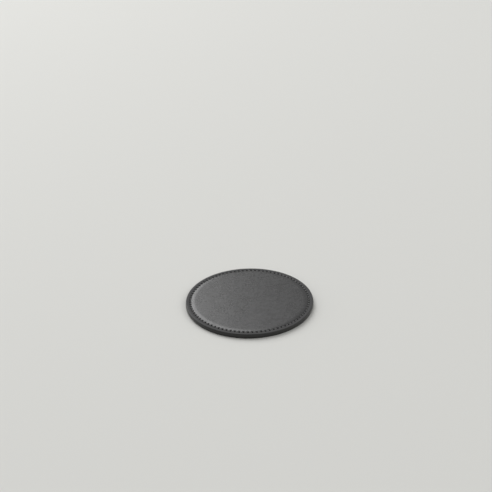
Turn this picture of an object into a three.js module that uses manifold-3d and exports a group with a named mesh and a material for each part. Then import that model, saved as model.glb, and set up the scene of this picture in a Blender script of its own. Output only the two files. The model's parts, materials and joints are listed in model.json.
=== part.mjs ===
// Round drink coaster of stitched leather, in millimetres, +Z up.
// Two discs of leather are bonded to a stiffening board, sewn together round the rim with a
// lockstitch, and sealed round the cut edge with paint.
// The origin is the middle of the underside, on the surface that the coaster lies on.
import * as THREE from "three";
import { mergeGeometries, mergeVertices } from "three/addons/utils/BufferGeometryUtils.js";
import Module from "manifold-3d";

// Driving dimensions
const DIAMETER = 100; // over the painted edge
const FACE_THICKNESS = 1.2; // face leather
const CORE_THICKNESS = 1.4; // stiffening board
const BACK_THICKNESS = 1.2; // back leather
const GLUE_THICKNESS = 0.1; // each bond
const COAT_THICKNESS = 0.3; // edge paint, where it stands out most
const RIM_WIDTH = 0.7; // rounding of the face leather's rim, inwards from the cut edge
const RIM_HEIGHT = 0.5; // and downwards from its crest
const RIM_DROP = 0.1; // how far the rim's crest lies below the field
const BACK_ROUND = 0.5; // rounding of the back leather's outer corner

const SEAM_INSET = 3.6; // from the outer edge to the line of stitches
const STITCH_LENGTH = 3.3; // the seam takes the nearest whole number of stitches
const THREAD_DIAMETER = 0.5;
const CROWN_RISE = 0.1; // how far a stitch bows up between its two holes
const SHOULDER_WIDTH = 2.8; // where the face leather falls from the field to the stitches
const SHOULDER_BEND = 0.9; // how far from the stitches the shoulder turns towards the field
const BACK_GROOVE_SLOPE = 0.4; // width of each side of the groove in the back leather
const GLUE_INSET = 1.5; // the glue stops this far inside the stitches, clear of the needle

// Clearances
const THREAD_GAP = 0.05; // between thread and leather, and between the two threads
const HOLE_GAP = 0.04; // between a thread and the walls of its hole
const GROOVE_LAND = 0.2; // flat floor left on either side of a hole
const GLUE_GAP = 0.3; // from the rim of the glue to the step that it lies in
const COAT_GAP = 0.02; // between the paint and the cut edge

// Counts
const THREAD_SIDES = 4;
const CURVE_STEPS = 3; // straight runs in each rounded part of a profile
const COAT_STEPS = 6;
const STITCHES_PER_FACET = 2;
const HOLE_CORNERS = 4;
const QUARTERS = 4;

// Radii
const OUTER_RADIUS = DIAMETER / 2;
const CUT_RADIUS = OUTER_RADIUS - COAT_THICKNESS;
const SEAM_RADIUS = OUTER_RADIUS - SEAM_INSET;
const GLUE_RADIUS = SEAM_RADIUS - GLUE_INSET;
const GLUE_STEP_RADIUS = GLUE_RADIUS + GLUE_GAP;

// Heights of the layers
const BACK_TOP = BACK_THICKNESS;
const CORE_BOTTOM = BACK_TOP + GLUE_THICKNESS;
const CORE_TOP = CORE_BOTTOM + CORE_THICKNESS;
const FACE_BOTTOM = CORE_TOP + GLUE_THICKNESS;
const FACE_TOP = FACE_BOTTOM + FACE_THICKNESS;
const RIM_CREST = FACE_TOP - RIM_DROP;
const RIM_FOOT = RIM_CREST - RIM_HEIGHT;

// The seam has whole facets in each quarter, so that the discs are alike on both sides of each axis
const QUARTER_SEAM = (2 * Math.PI * SEAM_RADIUS) / QUARTERS;
const FACETS = QUARTERS * Math.round(QUARTER_SEAM / STITCH_LENGTH / STITCHES_PER_FACET);
const STITCHES = FACETS * STITCHES_PER_FACET;
const STITCH_ANGLE = (2 * Math.PI) / STITCHES;

// Each thread lies in a groove as deep as itself, dips into every hole as a narrow loop, and hooks the
// other thread's loop in the middle of the board
const THREAD_RADIUS = THREAD_DIAMETER / 2;
const BACK_GROOVE = THREAD_DIAMETER + 2 * THREAD_GAP;
const FACE_GROOVE = FACE_TOP - BACK_GROOVE - CROWN_RISE;
const NEEDLE_SEAT = FACE_GROOVE + THREAD_GAP + THREAD_RADIUS;
const BOBBIN_SEAT = BACK_GROOVE - THREAD_GAP - THREAD_RADIUS;
const LOCK_MIDDLE = (CORE_BOTTOM + CORE_TOP) / 2;
const LOCK_HALF_HEIGHT = (THREAD_DIAMETER + THREAD_GAP) / 2;
const NEEDLE_LOOP = LOCK_MIDDLE - LOCK_HALF_HEIGHT;
const BOBBIN_LOOP = LOCK_MIDDLE + LOCK_HALF_HEIGHT;

// The legs of a loop lie side by side at the surface and spread towards the lock, just far enough for
// the other loop to pass between them
const LEG_SPREAD_TOP = LOCK_HALF_HEIGHT;
const LEG_HEIGHT = Math.min(NEEDLE_SEAT - NEEDLE_LOOP, BOBBIN_LOOP - BOBBIN_SEAT);
const LOCK_SHARE = (2 * LOCK_HALF_HEIGHT) / LEG_HEIGHT;
const LEG_SPREAD_LOCK = (2 * LOCK_HALF_HEIGHT - LOCK_SHARE * LEG_SPREAD_TOP) / (1 - LOCK_SHARE);

// Half diagonal of the cornered hole that the needle leaves, with a leg of the loop clear of its walls
const holeFor = (spread) => spread + (THREAD_RADIUS + HOLE_GAP) / Math.cos(Math.PI / HOLE_CORNERS);
const spreadAt = (share) => THREE.MathUtils.lerp(LEG_SPREAD_TOP, LEG_SPREAD_LOCK, share);
const FACE_HOLE = holeFor(spreadAt((NEEDLE_SEAT - CORE_TOP) / (NEEDLE_SEAT - NEEDLE_LOOP)));
const CORE_HOLE = holeFor(LEG_SPREAD_LOCK);
const BACK_HOLE = holeFor(spreadAt((CORE_BOTTOM - BOBBIN_SEAT) / (BOBBIN_LOOP - BOBBIN_SEAT)));

const wasm = await Module();
wasm.setup();

// A closed geometry as a solid for cutting
function solidOf(geometry) {
  const bare = geometry.clone();
  bare.deleteAttribute("normal");
  bare.deleteAttribute("uv");
  const merged = mergeVertices(bare);
  const vertProperties = merged.attributes.position.array;
  const triVerts = merged.index.array;
  return new wasm.Manifold(new wasm.Mesh({ numProp: 3, vertProperties, triVerts }));
}

// A cut solid as a geometry again
function geometryOf(solid) {
  const mesh = solid.getMesh();
  const geometry = new THREE.BufferGeometry();
  geometry.setAttribute("position", new THREE.BufferAttribute(mesh.vertProperties, 3));
  geometry.setIndex(new THREE.BufferAttribute(mesh.triVerts, 1));
  geometry.computeVertexNormals();
  return geometry;
}

// Turns a profile of radius and height about the vertical axis
function turned(profile, steps = CURVE_STEPS) {
  return new THREE.LatheGeometry(profile.getPoints(steps), FACETS).rotateX(Math.PI / 2);
}

// The first hole lies half a stitch past -Y, which keeps every hole inside one facet
function holeAngle(hole) {
  return (hole + 0.5) * STITCH_ANGLE;
}

// A point beside a numbered hole, at a place along the seam, a place outwards and a height
function seamPoint(hole, along, outwards, height) {
  const angle = holeAngle(hole);
  const out = new THREE.Vector3(Math.sin(angle), -Math.cos(angle), 0);
  const ahead = new THREE.Vector3(Math.cos(angle), Math.sin(angle), 0);
  return out.multiplyScalar(SEAM_RADIUS + outwards).addScaledVector(ahead, along).setZ(height);
}

// The ring of needle holes, as one cutter through a layer
function needleHoles(halfDiagonal) {
  const depth = 2 * FACE_TOP;
  const holes = [];
  for (let hole = 0; hole < STITCHES; hole++) {
    const prism = new THREE.CylinderGeometry(halfDiagonal, halfDiagonal, depth, HOLE_CORNERS);
    const place = seamPoint(hole, 0, 0, FACE_TOP / 2);
    prism.rotateX(Math.PI / 2).rotateZ(holeAngle(hole)).translate(place.x, place.y, place.z);
    holes.push(prism);
  }
  return solidOf(mergeGeometries(holes));
}

function pierced(geometry, halfDiagonal) {
  return geometryOf(solidOf(geometry).subtract(needleHoles(halfDiagonal)));
}

// Face leather: flat field, soft shoulder down to the stitches, margin that rises again to a rounded rim
function faceLeather() {
  const floor = FACE_HOLE + GROOVE_LAND;
  const shoulderFoot = SEAM_RADIUS - floor;
  const shoulderTop = shoulderFoot - SHOULDER_WIDTH;
  const marginFoot = SEAM_RADIUS + floor;
  const crest = CUT_RADIUS - RIM_WIDTH;
  const profile = new THREE.Path();
  profile.moveTo(0, FACE_BOTTOM);
  profile.lineTo(GLUE_STEP_RADIUS, FACE_BOTTOM);
  profile.lineTo(GLUE_STEP_RADIUS, CORE_TOP);
  profile.lineTo(CUT_RADIUS, CORE_TOP);
  profile.lineTo(CUT_RADIUS, RIM_FOOT);
  profile.quadraticCurveTo(CUT_RADIUS, RIM_CREST, crest, RIM_CREST);
  profile.quadraticCurveTo((crest + marginFoot) / 2, RIM_CREST, marginFoot, FACE_GROOVE);
  profile.lineTo(shoulderFoot, FACE_GROOVE);
  profile.quadraticCurveTo(shoulderFoot - SHOULDER_BEND, FACE_TOP, shoulderTop, FACE_TOP);
  profile.lineTo(0, FACE_TOP);
  return pierced(turned(profile), FACE_HOLE);
}

// Back leather: flat underside with a groove that keeps the lower thread off the table
function backLeather() {
  const floor = BACK_HOLE + GROOVE_LAND;
  const profile = new THREE.Path();
  profile.moveTo(0, 0);
  profile.lineTo(SEAM_RADIUS - floor - BACK_GROOVE_SLOPE, 0);
  profile.lineTo(SEAM_RADIUS - floor, BACK_GROOVE);
  profile.lineTo(SEAM_RADIUS + floor, BACK_GROOVE);
  profile.lineTo(SEAM_RADIUS + floor + BACK_GROOVE_SLOPE, 0);
  profile.lineTo(CUT_RADIUS - BACK_ROUND, 0);
  profile.quadraticCurveTo(CUT_RADIUS, 0, CUT_RADIUS, BACK_ROUND);
  profile.lineTo(CUT_RADIUS, CORE_BOTTOM);
  profile.lineTo(GLUE_STEP_RADIUS, CORE_BOTTOM);
  profile.lineTo(GLUE_STEP_RADIUS, BACK_TOP);
  profile.lineTo(0, BACK_TOP);
  return pierced(turned(profile), BACK_HOLE);
}

// A plain disc between two heights
function disc(radius, bottom, top) {
  const profile = new THREE.Path();
  profile.moveTo(0, bottom);
  profile.lineTo(radius, bottom);
  profile.lineTo(radius, top);
  profile.lineTo(0, top);
  return turned(profile);
}

// Edge paint: a band round the cut edge, bowed outwards between the two rounded corners
function edgeCoat() {
  const inner = CUT_RADIUS + COAT_GAP;
  const profile = new THREE.Path();
  profile.moveTo(inner, BACK_ROUND);
  profile.quadraticCurveTo(2 * OUTER_RADIUS - inner, (BACK_ROUND + RIM_FOOT) / 2, inner, RIM_FOOT);
  profile.lineTo(inner, BACK_ROUND);
  return turned(profile, COAT_STEPS);
}

// Sweeps a round section along straight runs, mitred where they meet, with closed ends
function sweptThread(path) {
  const runs = path.slice(1).map((point, i) => point.clone().sub(path[i]).normalize());
  const side = new THREE.Vector3(0, 0, 1).cross(runs[0]);
  if (side.lengthSq() < 0.5) side.set(1, 0, 0).cross(runs[0]);
  side.normalize();
  const over = runs[0].clone().cross(side);
  let ring = [];
  for (let i = 0; i < THREAD_SIDES; i++) {
    const turn = (2 * Math.PI * i) / THREAD_SIDES;
    const corner = path[0].clone().addScaledVector(side, THREAD_RADIUS * Math.cos(turn));
    ring.push(corner.addScaledVector(over, THREAD_RADIUS * Math.sin(turn)));
  }
  const corners = [...ring];
  runs.forEach((run, i) => {
    const mitre = run.clone().add(runs[i + 1] ?? run);
    ring = ring.map((corner) => {
      const left = path[i + 1].clone().sub(corner).dot(mitre) / run.dot(mitre);
      return corner.clone().addScaledVector(run, left);
    });
    corners.push(...ring);
  });
  const faces = [];
  for (let r = 0; r < runs.length; r++) {
    for (let i = 0; i < THREAD_SIDES; i++) {
      const a = r * THREAD_SIDES + i;
      const b = r * THREAD_SIDES + ((i + 1) % THREAD_SIDES);
      faces.push(a, b, b + THREAD_SIDES, a, b + THREAD_SIDES, a + THREAD_SIDES);
    }
  }
  const last = runs.length * THREAD_SIDES;
  for (let i = 1; i < THREAD_SIDES - 1; i++) faces.push(0, i + 1, i, last, last + i, last + i + 1);
  const geometry = new THREE.BufferGeometry().setFromPoints(corners).setIndex(faces);
  geometry.computeVertexNormals();
  return geometry;
}

// Upper thread: over the face from hole to hole, down each hole, under the lower thread and up again.
// Its loops stand along the seam. Both tails are tucked into the first hole.
function needleThread() {
  const path = [];
  for (let hole = 0; hole < STITCHES; hole++) {
    path.push(seamPoint(hole, LEG_SPREAD_LOCK, 0, NEEDLE_LOOP));
    path.push(seamPoint(hole, LEG_SPREAD_TOP, 0, NEEDLE_SEAT));
    path.push(seamPoint(hole + 0.5, 0, 0, NEEDLE_SEAT + CROWN_RISE));
    path.push(seamPoint(hole + 1, -LEG_SPREAD_TOP, 0, NEEDLE_SEAT));
    path.push(seamPoint(hole + 1, -LEG_SPREAD_LOCK, 0, NEEDLE_LOOP));
  }
  return sweptThread(path);
}

// Lower thread: along the back from hole to hole, up each hole, over the upper thread and down again.
// Its loops stand across the seam, so that the two threads hook each other.
function bobbinThread() {
  const path = [];
  for (let hole = 0; hole < STITCHES; hole++) {
    path.push(seamPoint(hole, 0, LEG_SPREAD_LOCK, BOBBIN_LOOP));
    path.push(seamPoint(hole, 0, LEG_SPREAD_TOP, BOBBIN_SEAT));
    path.push(seamPoint(hole + 1, 0, -LEG_SPREAD_TOP, BOBBIN_SEAT));
    path.push(seamPoint(hole + 1, 0, -LEG_SPREAD_LOCK, BOBBIN_LOOP));
  }
  return sweptThread(path);
}

// Finishes
const FACE_FINISH = new THREE.MeshStandardMaterial({ color: 0x2b2b2c, roughness: 0.42, metalness: 0 });
const BACK_FINISH = new THREE.MeshStandardMaterial({ color: 0x262626, roughness: 0.6, metalness: 0 });
const BOARD_FINISH = new THREE.MeshStandardMaterial({ color: 0x5b4636, roughness: 0.9, metalness: 0 });
const GLUE_FINISH = new THREE.MeshStandardMaterial({ color: 0xc9b58a, roughness: 0.5, metalness: 0 });
const THREAD_FINISH = new THREE.MeshStandardMaterial({ color: 0x6c6c6c, roughness: 0.45, metalness: 0 });
const COAT_FINISH = new THREE.MeshStandardMaterial({ color: 0x1b1b1a, roughness: 0.5, metalness: 0 });

function piece(name, geometry, finish) {
  const mesh = new THREE.Mesh(geometry, finish);
  mesh.name = name;
  return mesh;
}

const layers = new THREE.Group().add(
  piece("back_leather", backLeather(), BACK_FINISH),
  piece("back_glue", disc(GLUE_RADIUS, BACK_TOP, CORE_BOTTOM), GLUE_FINISH),
  piece("core_board", pierced(disc(CUT_RADIUS, CORE_BOTTOM, CORE_TOP), CORE_HOLE), BOARD_FINISH),
  piece("face_glue", disc(GLUE_RADIUS, CORE_TOP, FACE_BOTTOM), GLUE_FINISH),
  piece("face_leather", faceLeather(), FACE_FINISH),
  piece("edge_coat", edgeCoat(), COAT_FINISH),
);
const seam = new THREE.Group().add(
  piece("needle_thread", needleThread(), THREAD_FINISH),
  piece("bobbin_thread", bobbinThread(), THREAD_FINISH),
);
const coaster = new THREE.Group().add(layers, seam);

export default coaster;
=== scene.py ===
# %% [markdown]
# # A stitched leather drink coaster
#
# The real coaster is a flat sandwich: two discs of black leather with a stiff board between them, sewn
# together near the rim and sealed along the cut edge with paint. The CAD model already holds every piece
# at its true size, so nothing here is moved or resized. This lesson makes the surfaces that an eye or a
# fingertip would find: the drawn-down seam, the needle holes, the twist of the thread and the grain.

# %% Load the CAD model as a fixed frame
import json
import math

import bmesh
import bpy
from mathutils import Matrix, Vector

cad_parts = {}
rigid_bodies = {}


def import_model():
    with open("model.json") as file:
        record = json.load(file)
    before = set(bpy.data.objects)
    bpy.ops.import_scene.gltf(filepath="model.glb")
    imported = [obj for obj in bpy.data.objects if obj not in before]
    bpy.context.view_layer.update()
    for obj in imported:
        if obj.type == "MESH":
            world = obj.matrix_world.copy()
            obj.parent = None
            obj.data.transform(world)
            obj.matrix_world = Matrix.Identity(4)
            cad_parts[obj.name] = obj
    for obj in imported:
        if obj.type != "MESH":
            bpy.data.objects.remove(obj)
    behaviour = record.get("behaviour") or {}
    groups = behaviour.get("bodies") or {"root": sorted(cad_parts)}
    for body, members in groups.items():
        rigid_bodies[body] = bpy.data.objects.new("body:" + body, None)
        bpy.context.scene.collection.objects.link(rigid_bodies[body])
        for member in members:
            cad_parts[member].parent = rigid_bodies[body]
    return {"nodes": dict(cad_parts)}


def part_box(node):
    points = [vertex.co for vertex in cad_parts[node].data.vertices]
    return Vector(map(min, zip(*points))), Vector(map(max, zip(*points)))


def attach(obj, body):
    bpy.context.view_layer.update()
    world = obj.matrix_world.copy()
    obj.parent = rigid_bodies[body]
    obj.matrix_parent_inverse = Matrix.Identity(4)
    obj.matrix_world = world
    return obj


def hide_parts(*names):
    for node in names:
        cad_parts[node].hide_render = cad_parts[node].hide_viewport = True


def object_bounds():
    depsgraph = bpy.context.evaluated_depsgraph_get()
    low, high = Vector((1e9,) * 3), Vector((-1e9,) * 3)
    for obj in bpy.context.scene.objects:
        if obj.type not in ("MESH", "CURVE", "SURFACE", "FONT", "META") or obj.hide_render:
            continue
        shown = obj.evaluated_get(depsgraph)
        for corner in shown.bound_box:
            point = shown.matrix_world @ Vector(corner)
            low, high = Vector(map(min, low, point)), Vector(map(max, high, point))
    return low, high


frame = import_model()
cad_low, cad_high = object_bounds()
print("CAD nodes:", sorted(frame["nodes"]))

# %% [markdown]
# Sizes come from the CAD nodes wherever a node can be measured, so the dressed coaster fits the solids.
# The rest are a leather worker's own measures: how far the seam lies from the edge, the thickness of the
# thread, and how many stitches go round. Blender works in metres, so millimetres get a named factor.

# %% Measure the layers and lay out the seam
MM = 0.001
OUTER_RADIUS = cad_high.x
CUT_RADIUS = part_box("face_leather")[1].x
FACE_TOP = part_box("face_leather")[1].z
FACE_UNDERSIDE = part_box("face_glue")[1].z
BOARD_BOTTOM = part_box("core_board")[0].z
BOARD_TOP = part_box("core_board")[1].z
BACK_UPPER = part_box("back_glue")[0].z
GROUND = cad_low.z

SEAM_INSET = 3.6 * MM
STITCHES = 88
THREAD = 0.5 * MM
SEAM_RADIUS = OUTER_RADIUS - SEAM_INSET
PITCH = 2 * math.pi * SEAM_RADIUS / STITCHES
print(f"stitch length {PITCH / MM:.2f} mm, seam radius {SEAM_RADIUS / MM:.1f} mm")

# %% [markdown]
# ## Camera, floor and light
# The camera stands where the photograph was taken from: nearly a metre away, a little over thirty degrees
# up, with a long lens, and turned by one degree. The lens and the distance come from how much narrower the
# far rim looks than the near one. A camera could be aimed by eye, but a number can be corrected: here the
# aim is the pixel where the middle of the underside falls in the frame.

# %% Camera
FRAME_PIXELS = 492
FOCAL_PIXELS = 1216
BASE_PIXEL = (248.6, 304.0)
CAMERA_DISTANCE = 0.954
CAMERA_ELEVATION = math.radians(31.5)
CAMERA_ROLL = math.radians(-1.0)
SENSOR = 36.0
NEAREST_SEEN = 0.01

middle_pixel = FRAME_PIXELS / 2
below_axis = math.atan((BASE_PIXEL[1] - middle_pixel) / FOCAL_PIXELS)
beside_axis = (BASE_PIXEL[0] - middle_pixel) / FOCAL_PIXELS * CAMERA_DISTANCE
camera_place = (
    -beside_axis,
    -CAMERA_DISTANCE * math.cos(CAMERA_ELEVATION),
    CAMERA_DISTANCE * math.sin(CAMERA_ELEVATION),
)
camera_tilt = Matrix.Rotation(math.pi / 2 - CAMERA_ELEVATION + below_axis, 3, "X")
camera_roll = Matrix.Rotation(CAMERA_ROLL, 3, "Z")
camera_turn = (camera_tilt @ camera_roll).to_euler()
bpy.ops.object.camera_add(location=camera_place, rotation=camera_turn)
camera = bpy.context.object
camera.data.sensor_width = SENSOR
camera.data.lens = FOCAL_PIXELS / FRAME_PIXELS * SENSOR
camera.data.clip_start = NEAREST_SEEN
bpy.context.scene.camera = camera
bpy.context.scene.view_settings.view_transform = "Standard"
print(f"lens {camera.data.lens:.1f} mm, camera {camera_place[2] / MM:.0f} mm above the floor")

# %% [markdown]
# The floor is one wide pale sheet. A backdrop that curves up behind would do as well, but the camera looks
# down and never sees the end of the floor.

# %% Floor
FLOOR_SIZE = 12.0
FLOOR_COLOUR = (0.67, 0.67, 0.647, 1)
FLOOR_ROUGHNESS = 0.8


def new_material(name):
    """An empty node material with its Principled shader, ready for a finish."""
    material = bpy.data.materials.new(name)
    material.use_nodes = True
    shader = material.node_tree.nodes["Principled BSDF"]
    return material, material.node_tree, shader


bpy.ops.object.select_all(action="DESELECT")
bpy.ops.mesh.primitive_plane_add(size=FLOOR_SIZE, location=(0, 0, GROUND))
floor = bpy.context.object
floor.name = "floor"
floor_finish, tree, shader = new_material("pale_floor")
shader.inputs["Base Color"].default_value = FLOOR_COLOUR
shader.inputs["Roughness"].default_value = FLOOR_ROUGHNESS
floor.data.materials.append(floor_finish)
print("floor:", FLOOR_SIZE, "m wide")

# %% [markdown]
# A dark sheen only shows when something bright lies where the surface would mirror it. A large panel
# therefore stands behind on the left like a window, with its edge just where the face mirrors it, so that
# the sheen fades across the leather. A small bright lamp would also give a sheen, but it would glare from
# other sides, so every panel is large and dim. The second one lifts the left wall. The third, on the right,
# stands for the rest of a bright room and softens the shadow.

# %% Lights
WORLD_COLOUR = (1.0, 1.0, 0.985, 1)
WORLD_STRENGTH = 0.44
PANELS = (
    ("window", (-1.416, 2.64, 2.65), 3.0, 3.2, 104.0),
    ("side window", (-1.632, 0.438, 0.50), 2.0, 0.90, 4.5),
    ("room", (2.16, -0.786, 1.93), 3.0, 2.0, 22),
)


def soft_panel(name, place, width, height, energy):
    """A soft rectangular light that faces the coaster."""
    turn = (-Vector(place)).to_track_quat("-Z", "Y").to_euler()
    bpy.ops.object.light_add(type="AREA", location=place, rotation=turn)
    panel = bpy.context.object
    panel.name = name
    panel.data.shape = "RECTANGLE"
    panel.data.size = width
    panel.data.size_y = height
    panel.data.energy = energy
    panel.visible_camera = False


for panel in PANELS:
    soft_panel(*panel)
world = bpy.data.worlds.new("room")
bpy.context.scene.world = world
world.use_nodes = True
background = world.node_tree.nodes["Background"]
background.inputs["Color"].default_value = WORLD_COLOUR
background.inputs["Strength"].default_value = WORLD_STRENGTH

# %% [markdown]
# ## Working by hand, in code
# Every piece below starts as a small primitive and is shaped with the same tools as in a window: extrude,
# move, scale, subdivide. An operator acts on whatever is selected, so small helpers do the selecting: one
# makes a piece the active one, and one picks points by their place. Two more apply a modifier for good and
# count triangles.

# %% Helpers for selecting and finishing
def activate(piece):
    """Makes one piece the only selected one, in object mode."""
    if bpy.context.object and bpy.context.object.mode != "OBJECT":
        bpy.ops.object.mode_set(mode="OBJECT")
    bpy.ops.object.select_all(action="DESELECT")
    piece.select_set(True)
    bpy.context.view_layer.objects.active = piece


def pick(piece, wanted):
    """In edit mode, selects the points that pass a test."""
    bpy.ops.mesh.select_mode(type="VERT")
    bpy.ops.mesh.select_all(action="DESELECT")
    mesh = bmesh.from_edit_mesh(piece.data)
    for point in mesh.verts:
        if wanted(point):
            point.select = True
    mesh.select_flush_mode()
    bmesh.update_edit_mesh(piece.data)


def apply_modifier(piece, kind, **settings):
    """Adds a modifier, sets it and applies it."""
    activate(piece)
    modifier = piece.modifiers.new(kind.lower(), kind)
    for setting, value in settings.items():
        setattr(modifier, setting, value)
    bpy.ops.object.modifier_apply(modifier=modifier.name)


def triangles(piece):
    """How many triangles a piece has."""
    piece.data.calc_loop_triangles()
    return len(piece.data.loop_triangles)


print("tools ready, Blender", bpy.app.version_string)

# %% [markdown]
# ## The leather panels
# A sewn ring is the same few millimetres over and over, so only one stitch's length of leather is
# modelled, laid out straight: X runs along the seam, -Y points outwards and Z is up. Its cross-section is
# worked out first: a flat field, a soft shoulder down to the stitches, a margin about level with the
# thread, and a crisp rim that turns down into the cut edge. A sculpted disc could show the same dip, but
# a section has numbers that can be measured and corrected.

# %% Cross-section of a panel, from the field to the cut edge
CHANNEL_HALF = 0.45 * MM
FIELD_EDGE = 0.44 * MM
FIELD_ROUNDNESS = 1.5
MARGIN_EDGE = 0.46 * MM
MARGIN_ROUNDNESS = 2
FLAT_STRIP = 1.2 * MM
SHOULDER_STEPS = 6
MARGIN_STEPS = 4
RIM_STEPS = 5
CUT = CUT_RADIUS - SEAM_RADIUS


def spread(first, last, steps):
    """Evenly spaced numbers from the first to the last."""
    return [first + (last - first) * step / steps for step in range(steps + 1)]


def slope(distance, reach, edge, rise, roundness):
    """Height of the leather at a distance from the stitches, as it climbs from the channel's edge."""
    share = (distance - CHANNEL_HALF) / (reach - CHANNEL_HALF)
    return edge + (rise - edge) * (1 - (1 - share) ** roundness)


def panel_section(depth, shoulder, crest_height, rim_width, rim_height, wall_end):
    """Pairs of distance outwards from the seam and height above the thread's bed."""
    crest = CUT - rim_width
    section = [(-shoulder - FLAT_STRIP, depth)]
    for distance in spread(shoulder, 2 * CHANNEL_HALF, SHOULDER_STEPS):
        section.append((-distance, slope(distance, shoulder, FIELD_EDGE, depth, FIELD_ROUNDNESS)))
    section.append((0, 0))
    for distance in spread(2 * CHANNEL_HALF, crest, MARGIN_STEPS):
        section.append((distance, slope(distance, crest, MARGIN_EDGE, crest_height, MARGIN_ROUNDNESS)))
    for angle in spread(0, math.pi / 2, RIM_STEPS)[1:]:
        out = crest + rim_width * math.sin(angle)
        section.append((out, crest_height - rim_height * (1 - math.cos(angle))))
    section.append((CUT, wall_end))
    return section


print(f"the cut edge lies {CUT / MM:.2f} mm outside the seam")

# %% [markdown]
# The face has a deep, wide shoulder, as the photograph shows. The back only needs a narrow groove that
# keeps the lower thread off whatever the coaster lies on. One function gives both sections.

# %% Sections of the face and the back
FACE_DEPTH = 0.74 * MM
FACE_SHOULDER = 3.7 * MM
FACE_FLOOR = FACE_TOP - FACE_DEPTH
RIM_DROP = 0.24 * MM
RIM_WIDTH = 0.5 * MM
RIM_HEIGHT = 0.4 * MM
face_section = panel_section(
    FACE_DEPTH,
    FACE_SHOULDER,
    FACE_DEPTH - RIM_DROP,
    RIM_WIDTH,
    RIM_HEIGHT,
    FACE_UNDERSIDE - FACE_FLOOR,
)
BACK_DEPTH = 0.6 * MM
BACK_SHOULDER = 1.4 * MM
BACK_FLOOR = GROUND + BACK_DEPTH
BACK_ROUND = 0.5 * MM
back_section = panel_section(
    BACK_DEPTH,
    BACK_SHOULDER,
    BACK_DEPTH,
    BACK_ROUND,
    BACK_ROUND,
    BACK_FLOOR - BACK_UPPER,
)
print(f"face section {len(face_section)} points, back section {len(back_section)} points")

# %% [markdown]
# A row of edges is extruded point by point along that section, as one would do with the E key. A grid
# primitive gives the row: all of it but one row of edges is deleted again. The same tool makes the face
# and the back, which is the same shape turned over, so the heights are multiplied by `up`.

# %% Extrude one stitch's length of leather
COLUMNS = 2


def straight_strip(name, section, floor_height, up):
    """One stitch's length of a section, laid out straight along X."""
    bpy.ops.object.select_all(action="DESELECT")
    bpy.ops.mesh.primitive_grid_add(x_subdivisions=COLUMNS, y_subdivisions=1, size=PITCH)
    strip = bpy.context.object
    strip.name = name
    bpy.ops.object.mode_set(mode="EDIT")
    pick(strip, lambda point: point.co.y < 0)
    bpy.ops.mesh.delete(type="VERT")
    bpy.ops.mesh.select_all(action="SELECT")
    out, height = section[0]
    bpy.ops.transform.translate(value=(PITCH / 2, -out - PITCH / 2, floor_height + up * height))
    for (out, height), (next_out, next_height) in zip(section, section[1:]):
        step = (0, out - next_out, up * (next_height - height))
        bpy.ops.mesh.extrude_region_move(TRANSFORM_OT_translate={"value": step})
    return strip


face_panel = straight_strip("face_panel", face_section, FACE_FLOOR, 1)
print("face strip:", len(bmesh.from_edit_mesh(face_panel.data).verts), "points")

# %% [markdown]
# The needle leaves a slanted oval hole in each stitch. A Boolean could cut it, but its edges would not
# follow the leather. Instead the strip is subdivided near the seam, so that there are enough points to
# shape. A block of faces comes out, To Sphere rounds the loop that is left, and scaling and turning make
# it a slanted oval.

# %% Open the needle hole
OUTER_ZONE = 1.9 * MM
INNER_ZONE = 2.1 * CHANNEL_HALF
HOLE_BLOCK = 1.1 * PITCH / 4
HOLE_LENGTH = 1.4 * MM
HOLE_WIDTH = 1.2 * MM
HOLE_SLANT = math.radians(12)
LIP_HEIGHT = 0.12 * MM


def beside(point, along, outwards):
    """Whether a point of the strip lies near the middle of its seam."""
    return abs(point.co.x - PITCH / 2) < along and abs(point.co.y) < outwards


def on_lip(point):
    """Whether a point lies on the open edge of the needle hole."""
    return point.is_boundary and beside(point, HOLE_BLOCK, 2 * CHANNEL_HALF)


def open_hole(strip, floor_height, middle, up):
    """Refines the strip near the seam and cuts an oval hole in its middle."""
    pick(strip, lambda point: abs(point.co.y) < OUTER_ZONE)
    bpy.ops.mesh.subdivide(number_cuts=1)
    for side, edge in ((1, FIELD_EDGE), (-1, MARGIN_EDGE)):
        pick(strip, lambda point: CHANNEL_HALF / 2 < side * point.co.y < 1.5 * CHANNEL_HALF)
        channel_edge = (0, 0, floor_height + up * edge)
        bpy.ops.transform.resize(value=(1, 1, 0), center_override=channel_edge)
    pick(strip, lambda point: abs(point.co.y) < INNER_ZONE)
    bpy.ops.mesh.subdivide(number_cuts=1)
    pick(strip, lambda point: beside(point, HOLE_BLOCK, 1.1 * CHANNEL_HALF))
    bpy.ops.mesh.delete(type="FACE")

    pick(strip, on_lip)
    bpy.ops.transform.resize(value=(1, 1, 0), center_override=middle)
    bpy.ops.transform.tosphere(value=1)
    lip = [point.co - middle for point in bmesh.from_edit_mesh(strip.data).verts if point.select]
    radius = sum(arm.length for arm in lip) / len(lip)
    oval = (HOLE_LENGTH / 2 / radius, HOLE_WIDTH / 2 / radius, 1)
    bpy.ops.transform.resize(value=oval, center_override=middle)
    bpy.ops.transform.rotate(value=HOLE_SLANT, orient_axis="Z", center_override=middle)


print(f"needle holes {HOLE_LENGTH / MM:.1f} by {HOLE_WIDTH / MM:.1f} mm")

# %% [markdown]
# The thread pulls the lip of the hole down, and the leather round it follows in a soft dimple. That is what
# proportional editing does. Three short extrusions then give the lip its thickness. The dimple also gets an
# attribute, `pit_shade`, which a finish reads to paint the pit darker and duller: painted shade in the pit.

# %% Draw the leather down round the hole
PIT_LENGTH = 0.45 * MM
PIT_DEPTH = 0.27 * MM
PIT_REACH = 0.5 * MM
PIT_SHADE_HALF = 1.6 * CHANNEL_HALF
LIP = 0.09 * MM
LIP_NARROWING = (0.95, 0.93, 0.97)
HOLE_WALL = 1


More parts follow.
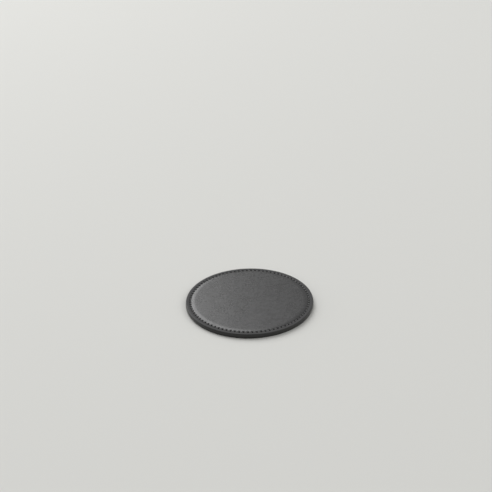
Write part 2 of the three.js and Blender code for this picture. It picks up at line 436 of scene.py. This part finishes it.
def draw_down(strip, middle, up):
    """Sinks the lip of the hole and gives it an inner wall with its own material."""
    pick(strip, lambda point: on_lip(point) or beside(point, PIT_LENGTH, INNER_ZONE))
    bpy.ops.transform.translate(
        value=(0, 0, -up * PIT_DEPTH),
        use_proportional_edit=True,
        proportional_edit_falloff="SMOOTH",
        proportional_size=PIT_REACH,
    )
    # painted shade: this attribute marks the pit round the hole, which the leather finish paints darker
    bpy.ops.geometry.attribute_add(name="pit_shade", data_type="FLOAT", domain="POINT")
    pick(strip, lambda point: on_lip(point) or beside(point, PIT_LENGTH, PIT_SHADE_HALF))
    bpy.ops.mesh.attribute_set(value_float=1)
    pick(strip, on_lip)
    for narrowing in LIP_NARROWING:
        bpy.ops.mesh.extrude_region_move(TRANSFORM_OT_translate={"value": (0, 0, -up * LIP)})
        bpy.ops.transform.resize(value=(narrowing, narrowing, 1), center_override=middle)
    for step in LIP_NARROWING:
        bpy.ops.mesh.select_more()
    # the hole's wall takes the near-black finish of painted shade
    strip.active_material_index = HOLE_WALL
    bpy.ops.object.material_slot_assign()
    strip.active_material_index = 0


def pierce(strip, floor_height, up):
    """Makes the needle hole of a strip, with a material slot for the leather and one for the hole."""
    strip.data.materials.append(None)
    strip.data.materials.append(None)
    middle = Vector((PITCH / 2, 0, floor_height + up * LIP_HEIGHT))
    open_hole(strip, floor_height, middle, up)
    draw_down(strip, middle, up)
    bpy.ops.object.mode_set(mode="OBJECT")


pierce(face_panel, FACE_FLOOR, 1)
print("pierced face strip:", len(face_panel.data.polygons), "faces")

# %% [markdown]
# An Array modifier lines up one strip for every stitch and welds their edges. A Simple Deform modifier
# then bends the whole line through a full turn. The seam line keeps its length, so its radius is exactly
# the seam's radius. Bending a straight model is far easier than modelling on a curve, and every stitch
# stays the same size.

# %% Repeat the strip and bend it into a ring
WELD = 0.002 * MM


def bend_round(piece):
    """Repeats one stitch's length all the way round the seam and closes the ring."""
    apply_modifier(
        piece,
        "ARRAY",
        count=STITCHES,
        use_relative_offset=False,
        use_constant_offset=True,
        constant_offset_displace=(PITCH, 0, 0),
        use_merge_vertices=True,
        merge_threshold=WELD,
    )
    along = [point.co.x for point in piece.data.vertices]
    turn = (max(along) - min(along)) / SEAM_RADIUS
    apply_modifier(piece, "SIMPLE_DEFORM", deform_method="BEND", deform_axis="Z", angle=turn)
    bpy.ops.object.mode_set(mode="EDIT")
    bpy.ops.mesh.select_all(action="SELECT")
    bpy.ops.transform.translate(value=(0, -SEAM_RADIUS, 0))
    bpy.ops.mesh.remove_doubles(threshold=WELD)
    bpy.ops.mesh.normals_make_consistent(inside=False)
    bpy.ops.object.mode_set(mode="OBJECT")


bend_round(face_panel)
radii = [point.co.xy.length for point in face_panel.data.vertices]
print(f"face ring from {min(radii) / MM:.2f} to {max(radii) / MM:.2f} mm")

# %% [markdown]
# One round of subdivision smooths the lips of the holes. The ring still has an open middle, and Grid Fill
# closes it with an even quilt of squares. That is better than one huge face, because a hide is never
# perfectly flat: a Displace modifier with a soft cloud pattern lets it wander by a few hundredths of a
# millimetre, which is what makes a real sheen uneven. Last, the holes are extruded through to the flat
# side, and the flat side is filled.

# %% Smooth the ring, fill the field and close the flat side
UNEVEN = 0.05 * MM
UNEVEN_SIZE = 14 * MM
PANEL_CREASE = math.radians(50)
INNER_EDGES = STITCHES * COLUMNS * 2


def close_panel(panel, section, flat_height, up):
    """Fills the middle of a sewn ring and closes its flat side, with real holes through it."""
    inner = SEAM_RADIUS + section[0][0] + WELD
    between_rings = SEAM_RADIUS + CUT / 2
    apply_modifier(panel, "SUBSURF", levels=1, render_levels=1)
    bpy.ops.object.mode_set(mode="EDIT")
    pick(panel, lambda point: point.is_boundary and point.co.xy.length < inner)
    bpy.ops.mesh.fill_grid(span=INNER_EDGES // 4)
    hide = bpy.data.textures.new("uneven_hide", "CLOUDS")
    hide.noise_scale = UNEVEN_SIZE
    apply_modifier(
        panel,
        "DISPLACE",
        texture=hide,
        texture_coords="LOCAL",
        direction="Z",
        mid_level=1,
        strength=up * UNEVEN,
    )
    bpy.ops.object.mode_set(mode="EDIT")
    pick(panel, lambda point: point.is_boundary and point.co.xy.length < between_rings)
    bpy.ops.mesh.extrude_region_move(TRANSFORM_OT_translate={"value": (0, 0, -up * LIP)})
    pick(panel, lambda point: point.is_boundary)
    bpy.ops.transform.resize(value=(1, 1, 0), center_override=(0, 0, flat_height))
    bpy.ops.mesh.fill(use_beauty=False)
    bpy.ops.mesh.select_all(action="SELECT")
    bpy.ops.mesh.normals_make_consistent(inside=False)
    bpy.ops.object.mode_set(mode="OBJECT")
    bpy.ops.object.shade_smooth_by_angle(angle=PANEL_CREASE)


close_panel(face_panel, face_section, FACE_UNDERSIDE, 1)
print("face panel:", triangles(face_panel), "triangles")

# %% [markdown]
# The back is the same leather turned over: a flat underside with its narrow groove. It could be a mirrored
# copy of the face, but its section differs, so every step used for the face runs again with `up` reversed.

# %% Back panel
back_panel = straight_strip("back_panel", back_section, BACK_FLOOR, -1)
pierce(back_panel, BACK_FLOOR, -1)
bend_round(back_panel)
close_panel(back_panel, back_section, BACK_UPPER, -1)
print("back panel:", triangles(back_panel), "triangles")

# %% [markdown]
# ## The painted edge
# Edge paint is brushed on in coats and sanded, so it stands out in a soft bow and hides the layers, all
# but a faint line where each leather meets the board. A spun outline would do, but the tools above are
# ready: its closed section is extruded, repeated and bent like the leather. A Displace modifier leaves
# the slight waves of a brushed coat.

# %% Edge paint
PAINT_BOTTOM = GROUND + BACK_ROUND * 0.8
PAINT_TOP = FACE_TOP - RIM_DROP - RIM_HEIGHT * 0.9
PAINT_LAP = 0.03 * MM
PAINT_ROWS = 20
LAYER_LINE = 0.03 * MM
LAYER_LINE_HALF = 0.12 * MM
BRUSH_WAVE = 0.03 * MM
BRUSH_WAVE_SIZE = 5 * MM
EDGE_CREASE = math.radians(60)


def paint_bulge(height):
    """How far the paint stands out from the cut edge at a height, with a faint dip at each layer."""
    share = (height - PAINT_BOTTOM) / (PAINT_TOP - PAINT_BOTTOM)
    bow = (OUTER_RADIUS - CUT_RADIUS) * (1 - (2 * share - 1) ** 2)
    for joint in (BOARD_BOTTOM, BOARD_TOP):
        bow -= LAYER_LINE * math.exp(-(((height - joint) / LAYER_LINE_HALF) ** 2))
    return max(bow, PAINT_LAP)


paint_rows = spread(PAINT_BOTTOM, PAINT_TOP, PAINT_ROWS)
paint_section = [(CUT + paint_bulge(height), height) for height in paint_rows]
paint_section.append((CUT - PAINT_LAP, PAINT_TOP))
paint_section.append((CUT - PAINT_LAP, PAINT_BOTTOM))
paint_section.append(paint_section[0])
edge_band = straight_strip("edge_band", paint_section, 0, 1)
bpy.ops.object.mode_set(mode="OBJECT")
bend_round(edge_band)
brush = bpy.data.textures.new("brushed_coat", "CLOUDS")
brush.noise_scale = BRUSH_WAVE_SIZE
apply_modifier(
    edge_band, "DISPLACE", texture=brush, texture_coords="LOCAL", mid_level=1, strength=BRUSH_WAVE
)
bpy.ops.object.shade_smooth_by_angle(angle=EDGE_CREASE)
print("edge band:", triangles(edge_band), "triangles")

# %% [markdown]
# ## The thread
# Sewing thread is three plies twisted together. A smooth cord with a twisted pattern would look flat close
# up, so the plies are real: three small circles are put round the axis and drawn out into a twisted cord
# by a Screw modifier. A Curve modifier then leads the cord along one stitch. A whole number of turns in
# each stitch lets the copies meet.

# %% Twist a cord and lead it along a stitch
PLIES = 3
PLY_SIDES = 5
TWISTS = 4
RINGS = 32
PATH_STEPS = 24
PLY_RADIUS = THREAD / 2 / (1 + 2 / math.sqrt(3))
PLY_OFFSET = THREAD / 2 - PLY_RADIUS


def stitch_path(name, points):
    """A smooth curve through the points of one stitch, and its length."""
    curve = bpy.data.curves.new(name, "CURVE")
    curve.dimensions = "3D"
    curve.twist_mode = "MINIMUM"
    curve.resolution_u = PATH_STEPS
    spline = curve.splines.new("BEZIER")
    spline.bezier_points.add(len(points) - 1)
    for knot, place in zip(spline.bezier_points, points):
        knot.co = place
        knot.handle_left_type = "AUTO"
        knot.handle_right_type = "AUTO"
    path = bpy.data.objects.new(name, curve)
    bpy.context.scene.collection.objects.link(path)
    return path, spline.calc_length()


def twisted_stitches(name, points):
    """A ring of stitches in twisted thread, one along the path and a copy for every other hole."""
    path, length = stitch_path(name + "_path", points)
    bpy.ops.object.select_all(action="DESELECT")
    bpy.ops.mesh.primitive_circle_add(vertices=PLY_SIDES, radius=PLY_RADIUS)
    thread = bpy.context.object
    thread.name = name
    bpy.ops.object.mode_set(mode="EDIT")
    bpy.ops.transform.translate(value=(PLY_OFFSET, 0, 0))
    for ply in range(PLIES - 1):
        bpy.ops.mesh.duplicate()
        bpy.ops.transform.rotate(value=2 * math.pi / PLIES, orient_axis="Z", center_override=(0, 0, 0))
    bpy.ops.object.mode_set(mode="OBJECT")
    apply_modifier(
        thread,
        "SCREW",
        axis="Z",
        angle=TWISTS * 2 * math.pi,
        screw_offset=length,
        steps=RINGS,
        render_steps=RINGS,
        use_merge_vertices=False,
    )
    apply_modifier(thread, "CURVE", object=path, deform_axis="POS_Z")
    bpy.data.objects.remove(path)
    bend_round(thread)
    bpy.ops.object.mode_set(mode="EDIT")
    bpy.ops.mesh.select_all(action="SELECT")
    bpy.ops.mesh.fill_holes(sides=PLY_SIDES)
    bpy.ops.mesh.normals_make_consistent(inside=False)
    bpy.ops.object.mode_set(mode="OBJECT")
    bpy.ops.object.shade_smooth()
    return thread


print(f"plies of {2 * PLY_RADIUS / MM:.2f} mm in a thread of {THREAD / MM:.1f} mm")

# %% [markdown]
# The upper thread comes up out of one hole, runs over the leather and goes down into the next. Its legs
# run on into the board, where each loop passes under the lower thread. Only half of a stitch is written
# down, as distances from its hole: the other half is the same path, turned round.

# %% Upper thread
LOCK = (BOARD_BOTTOM + BOARD_TOP) / 2
LOCK_GAP = THREAD * 0.55
SEAT_LIFT = THREAD * 0.55
LOOP = 0.55 * MM
LEG = 0.42 * MM
LEG_DROP = 1.7 * THREAD
AT_LIP = 0.62 * MM
LIP_DROP = 0.5 * THREAD
OVER_LIP = 0.98 * MM
OVER_LIP_DROP = 0.08 * THREAD


def one_stitch(climb, seat):
    """The points of a stitch: out of a hole, over its seat in the middle, and down into the next hole."""
    here = PITCH / 2
    there = here + PITCH
    first_half = [(here + along, -out, height) for along, out, height in climb]
    second_half = [(there - along, out, height) for along, out, height in reversed(climb)]
    return [*first_half, (here + PITCH / 2, 0, seat), *second_half]


needle_seat = FACE_FLOOR + SEAT_LIFT
needle_climb = (
    (0, 0, LOCK - LOCK_GAP),
    (LOOP, 0, LOCK + LOCK_GAP / 2),
    (LEG, 0, needle_seat - LEG_DROP),
    (AT_LIP, 0, needle_seat - LIP_DROP),
    (OVER_LIP, 0, needle_seat - OVER_LIP_DROP),
)
needle_stitches = twisted_stitches("needle_stitches", one_stitch(needle_climb, needle_seat))
print("needle stitches:", triangles(needle_stitches), "triangles")

# %% [markdown]
# The lower thread does the same from below. Its loops stand across the seam instead of along it, so that
# each one hooks over the upper thread's loop, and its stitches lean a little from hole to hole.

# %% Lower thread
BOBBIN_LIFT = THREAD * 0.59
bobbin_seat = BACK_FLOOR - BOBBIN_LIFT
bobbin_climb = (
    (0, 0, LOCK + LOCK_GAP),
    (0, LOOP, LOCK - LOCK_GAP / 2),
    (LEG / 2, LEG / 2, bobbin_seat + THREAD),
)
bobbin_stitches = twisted_stitches("bobbin_stitches", one_stitch(bobbin_climb, bobbin_seat))
print("bobbin stitches:", triangles(bobbin_stitches), "triangles")

# %% [markdown]
# ## Finishes
# A finish is a small set of patterns: one for the colour, one for the sheen and one or two for the relief.
# They could be painted on an image, but a pattern made by nodes stays sharp at any distance. All of them
# read Object coordinates, so that one scale in metres is true all over, and the helpers below add them by
# name.

# %% Helpers for patterns
def node(tree, kind, **sockets):
    """Adds a shader node and sets its inputs by name."""
    made = tree.nodes.new(kind)
    for socket, value in sockets.items():
        made.inputs[socket.replace("_", " ")].default_value = value
    return made


def new_finish(name):
    """A new material, its node tree, its shader, and the place of each point on the piece."""
    material, tree, shader = new_material(name)
    place = tree.nodes.new("ShaderNodeTexCoord").outputs["Object"]
    return material, tree, shader, place


def noise(tree, source, size, detail):
    """A noise pattern with features of about a given size."""
    pattern = node(tree, "ShaderNodeTexNoise", Scale=1 / size, Detail=detail)
    tree.links.new(source, pattern.inputs["Vector"])
    return pattern.outputs["Fac"]


def ranged(tree, source, start, end, first, last):
    """Maps a stretch of a pattern to a range of values."""
    mapped = node(tree, "ShaderNodeMapRange", From_Min=start, From_Max=end, To_Min=first, To_Max=last)
    tree.links.new(source, mapped.inputs["Value"])
    return mapped.outputs["Result"]


print("pattern helpers ready")

# %% [markdown]
# Noise mostly stays near its middle, so both the sheen and the colour use only the stretch from 0.3 to
# 0.7. Bump nodes are chained, because real relief is coarse grain with finer pores on top of it.

# %% Helpers for colour, sheen and relief
NOISE_LOW = 0.3
NOISE_HIGH = 0.7


def varied(tree, source, low, high):
    """A value that wanders between two numbers."""
    return ranged(tree, source, NOISE_LOW, NOISE_HIGH, low, high)


def tinted(tree, source, dark, light):
    """Mixes two colours by a pattern."""
    ramp = tree.nodes.new("ShaderNodeValToRGB")
    ramp.color_ramp.elements[0].position = NOISE_LOW
    ramp.color_ramp.elements[1].position = NOISE_HIGH
    ramp.color_ramp.elements[0].color = dark
    ramp.color_ramp.elements[1].color = light
    tree.links.new(source, ramp.inputs["Fac"])
    return ramp.outputs["Color"]


def bump(tree, source, depth, strength, under=None):
    """Relief of a given depth, on top of another relief."""
    relief = node(tree, "ShaderNodeBump", Strength=strength, Distance=depth)
    tree.links.new(source, relief.inputs["Height"])
    if under:
        tree.links.new(under, relief.inputs["Normal"])
    return relief.outputs["Normal"]


def mixed(tree, kind, factor, first, second):
    """Blends a pattern into a constant."""
    mix = tree.nodes.new("ShaderNodeMix")
    mix.data_type = kind
    sockets = [socket for socket in mix.inputs if socket.enabled]
    tree.links.new(factor, sockets[0])
    tree.links.new(first, sockets[1])
    sockets[2].default_value = second
    return next(socket for socket in mix.outputs if socket.enabled)


print("colour, sheen and relief helpers ready")

# %% [markdown]
# The leather isn't the same all the way out: the field is polished, the margin outside the seam is left
# dull, and the edge paint laps over the rim. Each of these is a ring, so the finish only needs to know how
# far a point lies from the middle. A few vector nodes measure that.

# %% Where the margin and the painted rim begin
PAINT_LAP_WIDTH = 0.55 * MM
MARGIN_START = 0.3 * MM
RING_FADE = 0.4 * MM


def outside(tree, place, start):
    """Nothing inside a radius, fading to one outside it."""
    flat = tree.nodes.new("ShaderNodeVectorMath")
    flat.operation = "MULTIPLY"
    flat.inputs[1].default_value = (1, 1, 0)
    tree.links.new(place, flat.inputs[0])
    radius = tree.nodes.new("ShaderNodeVectorMath")
    radius.operation = "LENGTH"
    tree.links.new(flat.outputs["Vector"], radius.inputs[0])
    return ranged(tree, radius.outputs["Value"], start, start + RING_FADE, 0, 1)


margin_radius = SEAM_RADIUS + MARGIN_START
painted_radius = CUT_RADIUS - PAINT_LAP_WIDTH
print(f"margin from {margin_radius / MM:.2f} mm, paint from {painted_radius / MM:.2f} mm")

# %% [markdown]
# What the eye reads as leather is mostly relief: shallow creases between pebble-like cells, with finer
# pores inside them, on a hide that undulates a little. Modelled, that would take millions of faces, so bump
# does it. A Voronoi pattern's distance to its edges draws the creases, and noise draws the rest. Each noise
# is written down as its size and its detail.

# %% Grain of the leather
CREASE_CELL = 0.55 * MM
CREASE_DISORDER = 0.9
CREASE_SHARE = 0.25
CREASE_DEPTH = 0.02 * MM
PORES = (0.18 * MM, 3)
PORE_DEPTH = 0.01 * MM
HIDE_WAVES = (6 * MM, 2)
HIDE_WAVE_DEPTH = 0.15 * MM
HIDE_WAVE_STRENGTH = 0.12


def grain(tree, place, strength):
    """Creases, pores and the slow waves of a hide, as relief."""
    creases = node(tree, "ShaderNodeTexVoronoi", Scale=1 / CREASE_CELL, Randomness=CREASE_DISORDER)
    creases.feature = "DISTANCE_TO_EDGE"
    tree.links.new(place, creases.inputs["Vector"])
    cells = ranged(tree, creases.outputs["Distance"], 0, CREASE_SHARE, 0, 1)
    relief = bump(tree, cells, CREASE_DEPTH, strength)
    relief = bump(tree, noise(tree, place, *PORES), PORE_DEPTH, strength, relief)
    waves = noise(tree, place, *HIDE_WAVES)
    return bump(tree, waves, HIDE_WAVE_DEPTH, HIDE_WAVE_STRENGTH, relief)


print(f"creases {CREASE_CELL / MM:.2f} mm apart, pores {PORES[0] / MM:.2f} mm")

# %% [markdown]
# Smooth black leather is a dark, slightly uneven colour under a soft sheen. The sheen varies too, as it
# does where a hide was rolled and handled. A material for each ring would leave a hard line between them,
# so one material blends them: dull on the margin, paint on the rim, and painted shade, darker and duller,
# in the pit round each needle hole.

# %% Leather
LEATHER_PATCHES = (9 * MM, 4)
SHEEN_PATCHES = (4 * MM, 5)
MARGIN_ROUGHNESS = 0.7
PAINT_TONE = (0.012, 0.012, 0.0115, 1)
PAINT_ROUGHNESS = 0.32
PIT_SHADE_TONE = (0.010, 0.010, 0.010, 1)
PIT_SHADE_ROUGHNESS = 0.85
FACE_TONES = ((0.026, 0.026, 0.027, 1), (0.036, 0.036, 0.037, 1))
FACE_ROUGHNESS = (0.25, 0.30)
FACE_GRAIN = 0.22
BACK_TONES = ((0.020, 0.020, 0.020, 1), (0.030, 0.030, 0.030, 1))
BACK_ROUGHNESS = (0.55, 0.68)
BACK_GRAIN = 0.6


def leather(name, tones, roughness_range, grain_strength):
    """Black leather with grain and an uneven sheen, dull on the margin and painted round the rim."""
    material, tree, shader, place = new_finish(name)
    tree.links.new(grain(tree, place, grain_strength), shader.inputs["Normal"])
    margin = outside(tree, place, margin_radius)
    rim = outside(tree, place, painted_radius)
    pit_shade = tree.nodes.new("ShaderNodeAttribute")
    pit_shade.attribute_name = "pit_shade"
    tone = tinted(tree, noise(tree, place, *LEATHER_PATCHES), *tones)
    tone = mixed(tree, "RGBA", rim, tone, PAINT_TONE)
    # painted shade: the pit round each needle hole gets a darker colour
    tone = mixed(tree, "RGBA", pit_shade.outputs["Fac"], tone, PIT_SHADE_TONE)
    tree.links.new(tone, shader.inputs["Base Color"])
    roughness = varied(tree, noise(tree, place, *SHEEN_PATCHES), *roughness_range)
    roughness = mixed(tree, "FLOAT", margin, roughness, MARGIN_ROUGHNESS)
    roughness = mixed(tree, "FLOAT", rim, roughness, PAINT_ROUGHNESS)
    roughness = mixed(tree, "FLOAT", pit_shade.outputs["Fac"], roughness, PIT_SHADE_ROUGHNESS)
    tree.links.new(roughness, shader.inputs["Roughness"])
    return material


face_finish = leather("smooth_black_leather", FACE_TONES, FACE_ROUGHNESS, FACE_GRAIN)
back_finish = leather("matt_black_leather", BACK_TONES, BACK_ROUGHNESS, BACK_GRAIN)
print("leathers:", face_finish.name, "and", back_finish.name)

# %% [markdown]
# Little light gets into a needle hole, and its wall is given a near-black, dull finish that paints that
# shade in. The hole's wall has its own material slot, so it gets a plain dark finish instead of one more
# pattern in the leather.

# %% Painted shade in the needle holes
HOLE_SHADE_TONE = (0.008, 0.008, 0.008, 1)
HOLE_ROUGHNESS = 0.95
HOLE_SHINE = 0.1
hole_shade_finish, tree, shader = new_material("painted_shade_needle_hole")
shader.inputs["Base Color"].default_value = HOLE_SHADE_TONE
shader.inputs["Roughness"].default_value = HOLE_ROUGHNESS
shader.inputs["Specular IOR Level"].default_value = HOLE_SHINE
for panel, finish in ((face_panel, face_finish), (back_panel, back_finish)):
    panel.data.materials[0] = finish
    panel.data.materials[HOLE_WALL] = hole_shade_finish
print("face panel materials:", [material.name for material in face_panel.data.materials])

# %% [markdown]
# Edge paint is a thin satin film with the faint orange peel of a brushed coat. One relief would look like
# moulded plastic, so there are two: the fine peel, and the broader marks of the brush.

# %% Finish of the edge paint
PEEL = (0.5 * MM, 2)
PEEL_DEPTH = 0.02 * MM
PEEL_STRENGTH = 0.4
BRUSH_MARKS = (3 * MM, 2)
BRUSH_MARK_DEPTH = 0.1 * MM
BRUSH_MARK_STRENGTH = 0.3
EDGE_TONES = ((0.009, 0.009, 0.0085, 1), (0.015, 0.015, 0.014, 1))
EDGE_PATCHES = (4 * MM, 3)
EDGE_ROUGHNESS = (0.28, 0.36)
EDGE_SHEEN_PATCHES = (2 * MM, 4)
paint_finish, tree, shader, place = new_finish("satin_edge_paint")
peel = bump(tree, noise(tree, place, *PEEL), PEEL_DEPTH, PEEL_STRENGTH)
peel = bump(tree, noise(tree, place, *BRUSH_MARKS), BRUSH_MARK_DEPTH, BRUSH_MARK_STRENGTH, peel)
edge_tone = tinted(tree, noise(tree, place, *EDGE_PATCHES), *EDGE_TONES)
edge_roughness = varied(tree, noise(tree, place, *EDGE_SHEEN_PATCHES), *EDGE_ROUGHNESS)
tree.links.new(peel, shader.inputs["Normal"])
tree.links.new(edge_tone, shader.inputs["Base Color"])
tree.links.new(edge_roughness, shader.inputs["Roughness"])
edge_band.data.materials.append(paint_finish)
print("edge finish:", paint_finish.name)

# %% [markdown]
# The thread is bonded polyester: charcoal grey, a little glossier than the leather, with fine fibres. Its
# colour is painted dark where it dives into a hole, as painted shade, because hardly any light gets in
# there.
# The finish finds that place by its height: how far a point lies from the lock in the middle of the board,
# above it or below.

# %% Finish of the thread
FIBRES = (0.06 * MM, 2)
FIBRE_DEPTH = 0.01 * MM
FIBRE_STRENGTH = 0.4
THREAD_TONES = ((0.16, 0.16, 0.16, 1), (0.23, 0.23, 0.23, 1))
THREAD_PATCHES = (0.3 * MM, 2)
THREAD_ROUGHNESS = (0.36, 0.48)
THREAD_SHEEN_PATCHES = (0.4 * MM, 2)
THREAD_DARK = 1.25 * MM
THREAD_SHOWS = 1.42 * MM


def inside_hole(tree, place):
    """One near the lock, fading to nothing where the thread comes out of the leather."""
    height = tree.nodes.new("ShaderNodeSeparateXYZ")
    tree.links.new(place, height.inputs["Vector"])
    away = tree.nodes.new("ShaderNodeMath")
    away.operation = "SUBTRACT"
    away.inputs[1].default_value = LOCK
    tree.links.new(height.outputs["Z"], away.inputs[0])
    distance = tree.nodes.new("ShaderNodeMath")
    distance.operation = "ABSOLUTE"
    tree.links.new(away.outputs["Value"], distance.inputs[0])
    return ranged(tree, distance.outputs["Value"], THREAD_DARK, THREAD_SHOWS, 1, 0)


thread_finish, tree, shader, place = new_finish("charcoal_bonded_thread")
fibres = bump(tree, noise(tree, place, *FIBRES), FIBRE_DEPTH, FIBRE_STRENGTH)
thread_tone = tinted(tree, noise(tree, place, *THREAD_PATCHES), *THREAD_TONES)
# painted shade: the thread takes the pit's shade tone where it dives into a hole
thread_tone = mixed(tree, "RGBA", inside_hole(tree, place), thread_tone, PIT_SHADE_TONE)
thread_roughness = varied(tree, noise(tree, place, *THREAD_SHEEN_PATCHES), *THREAD_ROUGHNESS)
tree.links.new(fibres, shader.inputs["Normal"])
tree.links.new(thread_tone, shader.inputs["Base Color"])
tree.links.new(thread_roughness, shader.inputs["Roughness"])
for stitches in (needle_stitches, bobbin_stitches):
    stitches.data.materials.append(thread_finish)
print("thread finish:", thread_finish.name)

# %% [markdown]
# The board and the two films of glue are sealed inside. Their CAD shapes are right as they are, so they
# only get materials: pressed brown leather fibre, and dried contact glue. Both are one colour pattern and
# one relief, so one helper makes them.

# %% Board and glue
BOARD_TONES = ((0.11, 0.06, 0.035, 1), (0.23, 0.14, 0.085, 1))
BOARD_PATCHES = (0.7 * MM, 6)
BOARD_FIBRES = (0.4 * MM, 5)
BOARD_ROUGHNESS = 0.9
GLUE_TONES = ((0.45, 0.33, 0.16, 1), (0.66, 0.54, 0.32, 1))
GLUE_PATCHES = (3 * MM, 4)
GLUE_RIPPLES = (2 * MM, 3)
GLUE_ROUGHNESS = 0.5
HIDDEN_DEPTH = 0.05 * MM
HIDDEN_STRENGTH = 0.5


def hidden_layer(name, tones, patches, bumps, roughness):
    """A finish for a layer inside, with one pattern for its colour and one for its relief."""
    material, tree, shader, place = new_finish(name)
    tone = tinted(tree, noise(tree, place, *patches), *tones)
    relief = bump(tree, noise(tree, place, *bumps), HIDDEN_DEPTH, HIDDEN_STRENGTH)
    tree.links.new(tone, shader.inputs["Base Color"])
    tree.links.new(relief, shader.inputs["Normal"])
    shader.inputs["Roughness"].default_value = roughness
    return material


board_finish = hidden_layer(
    "leather_fibre_board", BOARD_TONES, BOARD_PATCHES, BOARD_FIBRES, BOARD_ROUGHNESS
)
glue_finish = hidden_layer("dried_contact_glue", GLUE_TONES, GLUE_PATCHES, GLUE_RIPPLES, GLUE_ROUGHNESS)
LAYERS = (("core_board", board_finish), ("face_glue", glue_finish), ("back_glue", glue_finish))
for name, finish in LAYERS:
    frame["nodes"][name].data.materials.clear()
    frame["nodes"][name].data.materials.append(finish)
print("hidden layers finished:", [name for name, finish in LAYERS])

# %% [markdown]
# ## Hand over
# Each new piece rides on the coaster's one body, says which CAD solid it stands for, and which finish of
# the record it takes. Nothing on a coaster moves, so there are no joints. The CAD solid behind each piece
# is hidden, and the box of the CAD model is printed.

# %% Ride, replace and print the CAD box
DRESSED = (
    (face_panel, "face_leather", "face_leather"),
    (back_panel, "back_leather", "back_leather"),
    (edge_band, "edge_coat", "edge_paint"),
    (needle_stitches, "needle_thread", "thread"),
    (bobbin_stitches, "bobbin_thread", "thread"),
)
for piece, solid, slot in DRESSED:
    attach(piece, "root")
    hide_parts(solid)

print("CAD box   ", [round(value / MM, 2) for value in (*cad_low, *cad_high)])
